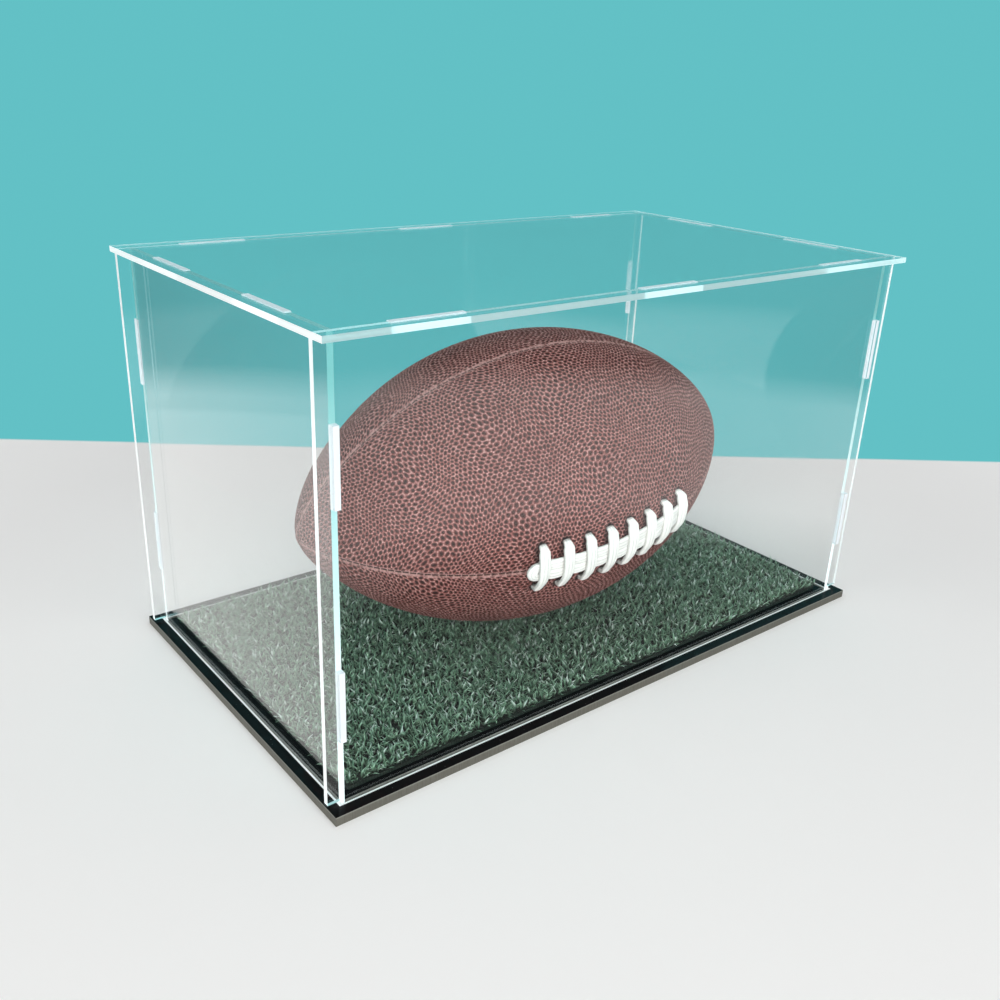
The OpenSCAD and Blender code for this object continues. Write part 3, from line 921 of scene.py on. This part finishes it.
# Direction across the line where the wall begins, and its distance from the case's middle
WALL_LINE = ((0.5897, 0.8076, 0), 0.302)
CARD_EDGE_X = -0.175
FLOOR_RADII = (0.25, 0.5, 0.8, 1.2, 2, 4)
FLOOR_SIDES = 96
WORLD_LIGHT = 0.42
MIRRORED_WORLD = 0.95
LAMP_TARGET = (0, 0, 0.12)
# Name, place, size, watts and colour of each lamp
LAMPS = (
    ("key_light", (-1.35, -1.15, 0.75), (1.1, 0.9), 15, (1.0, 0.985, 0.965)),
    ("front_light", (-0.3, -1.7, 0.45), (1.0, 0.6), 10, (1.0, 0.99, 0.975)),
    ("top_light", (-0.1, -0.2, 1.8), (1.5, 1.2), 7, (0.99, 0.995, 1.0)),
)
CAMERA_LENS = 36.77
CAMERA_PLACE = (-0.3854, -0.4511, 0.3267)
CAMERA_TURN = (67.200, -2.230, -38.404)


def in_gloss(g):
    """1 on rays that a gloss has mirrored, but not on those that only pass through a clear sheet."""
    return g.math("GREATER_THAN", g.add("LightPath", out="Glossy Depth"), 0.5)


def gloss_brightness(g, away):
    """What a gloss sees of the floor: a pale ring, dim close to the case and dark far off, and a bright
    card that lies to the left of the case."""
    ring = g.math("MULTIPLY", g.span(away, 0.27, 0.36), g.span(away, 0.80, 0.68))
    ring = g.math("ADD", g.math("MULTIPLY", ring, 0.72), g.span(away, 0.84, 0.68, 0.06, 0.14))
    left = g.span(g.axis(g.place(), "X"), CARD_EDGE_X, CARD_EDGE_X - 0.02)
    card = g.math("MULTIPLY", left, g.span(away, 0.72, 0.62))
    return g.math("MAXIMUM", ring, g.math("MULTIPLY", card, 1.05))


def make_floor():
    """A wide pale floor that ends at the photograph's straight line, where the backdrop's colour begins."""
    count = FLOOR_SIDES
    angles = np.linspace(0, 2 * math.pi, count, endpoint=False)
    circle = np.stack([np.cos(angles), np.sin(angles), 0 * angles], axis=-1)
    rings = [radius * circle for radius in FLOOR_RADII]
    points = np.concatenate([np.zeros((1, 3)), *rings])
    faces = [(0, 1 + i, 1 + (i + 1) % count) for i in range(count)]
    for ring in range(len(rings) - 1):
        low, high = 1 + ring * count, 1 + (ring + 1) * count
        for i in range(count):
            j = (i + 1) % count
            faces.append((low + i, high + i, high + j, low + j))
    floor = make_mesh("studio_floor", points, faces)
    g = Graph("studio_floor")
    away = g.add("VectorMath", {0: g.place()}, out="Value", operation="LENGTH")
    depth = g.add("VectorMath", {0: g.place(), 1: WALL_LINE[0]}, out="Value", operation="DOT_PRODUCT")
    far = g.span(depth, WALL_LINE[1], WALL_LINE[1] + 0.004)
    lit = g.add("BsdfDiffuse", {"Color": FLOOR_COLOUR})
    even = g.add("Emission", {"Color": FAR_FLOOR_COLOUR, "Strength": 1.0})
    near = g.add("MixShader", {0: g.span(away, 0.36, 0.75), 1: lit, 2: even})
    painted_edge_light = g.add("Emission", {"Color": BACKDROP_COLOUR, "Strength": 1.0})
    seen = g.add("MixShader", {0: far, 1: near, 2: painted_edge_light})
    brightness = gloss_brightness(g, away)
    mirrored = g.add("Emission", {"Color": MIRRORED_FLOOR_COLOUR, "Strength": brightness})
    floor.data.materials.append(g.finish(g.add("MixShader", {0: in_gloss(g), 1: seen, 2: mirrored})))


def make_world():
    """The backdrop's colour to the camera and through glass, and a plain soft light on the part."""
    world = bpy.data.worlds.new("studio_world")
    world.use_nodes = True
    bpy.context.scene.world = world
    g = Graph("studio_world", world.node_tree)
    seen = g.add("LightPath", out="Is Camera Ray")
    for ray in ("Is Glossy Ray", "Is Transmission Ray"):
        seen = g.math("MAXIMUM", seen, g.add("LightPath", out=ray))
    light = g.add("Background", {"Color": WORLD_LIGHT_COLOUR, "Strength": WORLD_LIGHT})
    strength = g.span(in_gloss(g), 0, 1, 1.0, MIRRORED_WORLD)
    view = g.add("Background", {"Color": BACKDROP_COLOUR, "Strength": strength})
    g.finish(g.add("MixShader", {0: seen, 1: light, 2: view}), "World")


def area_light(name, place, size, watts, colour):
    """A soft rectangular lamp that faces the case and doesn't show in mirror reflections."""
    light = bpy.data.lights.new(name, "AREA")
    light.shape = "RECTANGLE"
    light.size, light.size_y = size
    light.energy = watts
    light.color = colour
    lamp = bpy.data.objects.new(name, light)
    bpy.context.scene.collection.objects.link(lamp)
    lamp.location = place
    lamp.rotation_euler = (Vector(LAMP_TARGET) - Vector(place)).to_track_quat("-Z", "Y").to_euler()
    lamp.visible_glossy = False


def make_camera():
    """The photograph's view of the case."""
    data = bpy.data.cameras.new("view_camera")
    data.lens = CAMERA_LENS
    data.sensor_width = 36
    camera = bpy.data.objects.new("view_camera", data)
    bpy.context.scene.collection.objects.link(camera)
    camera.location = CAMERA_PLACE
    camera.rotation_euler = [math.radians(angle) for angle in CAMERA_TURN]
    bpy.context.scene.camera = camera


def recolour(material, *nodes):
    """Puts a material on the slots of CAD nodes whose shape is right."""
    for name in nodes:
        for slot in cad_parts[name].material_slots:
            slot.material = material


make_camera()
make_floor()
make_world()
for lamp in LAMPS:
    area_light(*lamp)

recolour(black_acrylic(), "base_plate")
recolour(clear_acrylic("Y"), "front_panel", "back_panel")
recolour(clear_acrylic("X"), "left_panel", "right_panel")
recolour(clear_acrylic("Z"), "top_panel")
recolour(woven_backing(), "turf_backing")
recolour(lining_cloth(), "lining")
recolour(black_rubber(), "bladder", "valve")

make_turf()
leather = ball_leather()
# The panels in turn from the lace seam, a quarter each
PANELS = ["laced_lower_leather", "plain_lower_leather", "plain_upper_leather", "laced_upper_leather"]
for quarter, panel in enumerate(PANELS):
    leather_panel(panel, quarter, leather)
make_laces(lace_vinyl())
make_stitching(stitch_thread())

bpy.context.scene.view_settings.view_transform = "Standard"
